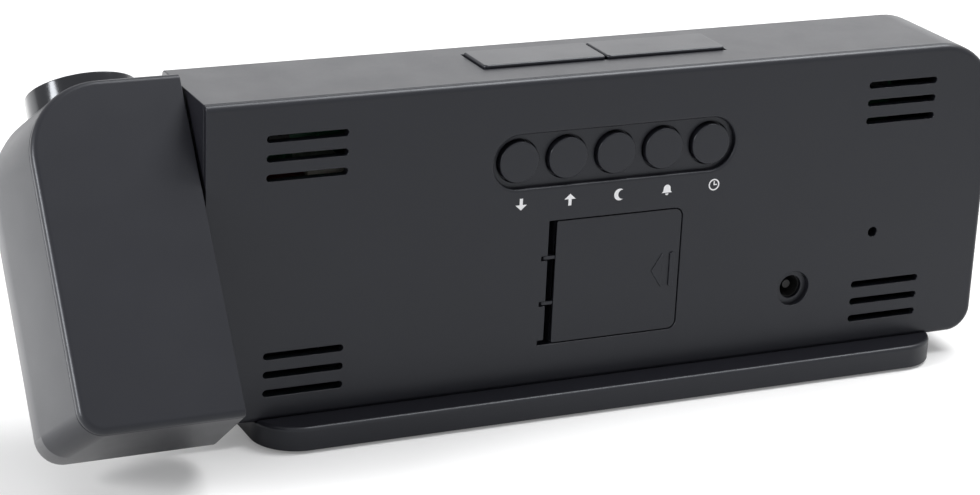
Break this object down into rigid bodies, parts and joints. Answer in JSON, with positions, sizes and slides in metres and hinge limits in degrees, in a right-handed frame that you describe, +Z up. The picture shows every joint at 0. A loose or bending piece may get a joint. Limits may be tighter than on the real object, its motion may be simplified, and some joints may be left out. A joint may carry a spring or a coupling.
{
  "type": "projection alarm clock",
  "caption": "Long flat alarm clock on a foot bar, with round keys on the rear, touch pads on top and a tilting ceiling projector at one end.",
  "frame": {"origin": "middle of the foot's resting face", "axes": "+X along the clock towards the projector, +Y to the rear, where the keys are, +Z up"},
  "size_m": [0.1967, 0.0568, 0.0683],
  "materials": {
    "housing": "satin black moulded plastic with a very fine spark texture",
    "key": "satin black moulded plastic, smoother than the housing",
    "window": "tinted half-mirrored acrylic",
    "mask": "white reflector plastic",
    "segment": "red diffusing resin, lit from behind",
    "led": "small resin LEDs",
    "board": "green solder mask",
    "black_part": "black moulded resin",
    "pale_part": "natural nylon",
    "steel": "plated steel",
    "contact": "nickel-plated spring brass",
    "pad": "black foam rubber",
    "lens": "clear moulded acrylic",
    "slide": "liquid crystal glass with polarisers",
    "lead": "PVC insulation"
  },
  "bodies": {
    "clock": {"front_housing": "housing", "rear_cover": "housing", "display_window": "window", "light_mask": "mask", "digit_segments": "segment", "display_leds": "led", "main_board": "board", "controller_chip": "black_part", "quartz_crystal": "steel", "board_screws": "steel", "lead_connector": "pale_part", "key_board": "board", "key_board_screws": "steel", "rear_switches": "black_part", "top_switches": "black_part", "coin_cell": "steel", "cell_contacts": "contact", "dc_jack": "black_part", "jack_contacts": "steel", "buzzer": "black_part", "foot_bar": "housing", "foot_pad": "pad", "foot_screws": "steel", "friction_washer": "steel"},
    "down_key": {"down_button": "key", "down_plunger": "pale_part"},
    "up_key": {"up_button": "key", "up_plunger": "pale_part"},
    "snooze_key": {"snooze_button": "key", "snooze_plunger": "pale_part"},
    "alarm_key": {"alarm_button": "key", "alarm_plunger": "pale_part"},
    "set_key": {"set_button": "key", "set_plunger": "pale_part"},
    "left_pad": {"left_top_pad": "key", "left_top_plunger": "pale_part"},
    "right_pad": {"right_top_pad": "key", "right_top_plunger": "pale_part"},
    "lid": {"battery_lid": "housing"},
    "projector": {"projector_shell": "housing", "projector_cover": "housing", "light_tube": "black_part", "lcd_slide": "slide", "condenser_lens": "lens", "lamp_house": "black_part", "projection_led": "segment", "projector_board": "board", "pivot_shaft": "black_part", "retaining_ring": "steel", "projector_lead": "lead"},
    "focus": {"focus_ring": "key"},
    "lens_carrier": {"lens_cell": "black_part", "projection_lens": "lens"}
  },
  "joints": [
    {"name": "projector_tilt", "type": "hinge", "parent": "clock", "child": "projector", "pos_m": [0.0823, 0.0037, 0.0476], "axis": [1, 0, 0], "range_deg": [-127, 53]},
    {"name": "focus_turn", "type": "hinge", "parent": "projector", "child": "focus", "pos_m": [0.0972, -0.00912, 0.05847], "axis": [0, -0.6018, 0.7986], "range_deg": [-90, 90]},
    {"name": "lens_travel", "type": "slide", "parent": "projector", "child": "lens_carrier", "axis": [0, -0.6018, 0.7986], "range_m": [-0.0015, 0.0015]},
    {"name": "lid_swing", "type": "hinge", "parent": "clock", "child": "lid", "pos_m": [0.01495, 0.0116, 0.0251], "axis": [0, 0, -1], "range_deg": [0, 90]},
    {"name": "down_press", "type": "slide", "parent": "clock", "child": "down_key", "axis": [0, -1, 0], "range_m": [0, 0.00035], "stiffness_N_per_m": 600, "springref_m": -0.001},
    {"name": "up_press", "type": "slide", "parent": "clock", "child": "up_key", "axis": [0, -1, 0], "range_m": [0, 0.00035], "stiffness_N_per_m": 600, "springref_m": -0.001},
    {"name": "snooze_press", "type": "slide", "parent": "clock", "child": "snooze_key", "axis": [0, -1, 0], "range_m": [0, 0.00035], "stiffness_N_per_m": 600, "springref_m": -0.001},
    {"name": "alarm_press", "type": "slide", "parent": "clock", "child": "alarm_key", "axis": [0, -1, 0], "range_m": [0, 0.00035], "stiffness_N_per_m": 600, "springref_m": -0.001},
    {"name": "set_press", "type": "slide", "parent": "clock", "child": "set_key", "axis": [0, -1, 0], "range_m": [0, 0.00035], "stiffness_N_per_m": 600, "springref_m": -0.001},
    {"name": "left_pad_press", "type": "slide", "parent": "clock", "child": "left_pad", "axis": [0, 0, -1], "range_m": [0, 0.00035], "stiffness_N_per_m": 600, "springref_m": -0.001},
    {"name": "right_pad_press", "type": "slide", "parent": "clock", "child": "right_pad", "axis": [0, 0, -1], "range_m": [0, 0.00035], "stiffness_N_per_m": 600, "springref_m": -0.001}
  ],
  "couplings": [
    {"joint": "focus_turn", "follows": "lens_travel", "rad_per_m": 1047.2}
  ]
}
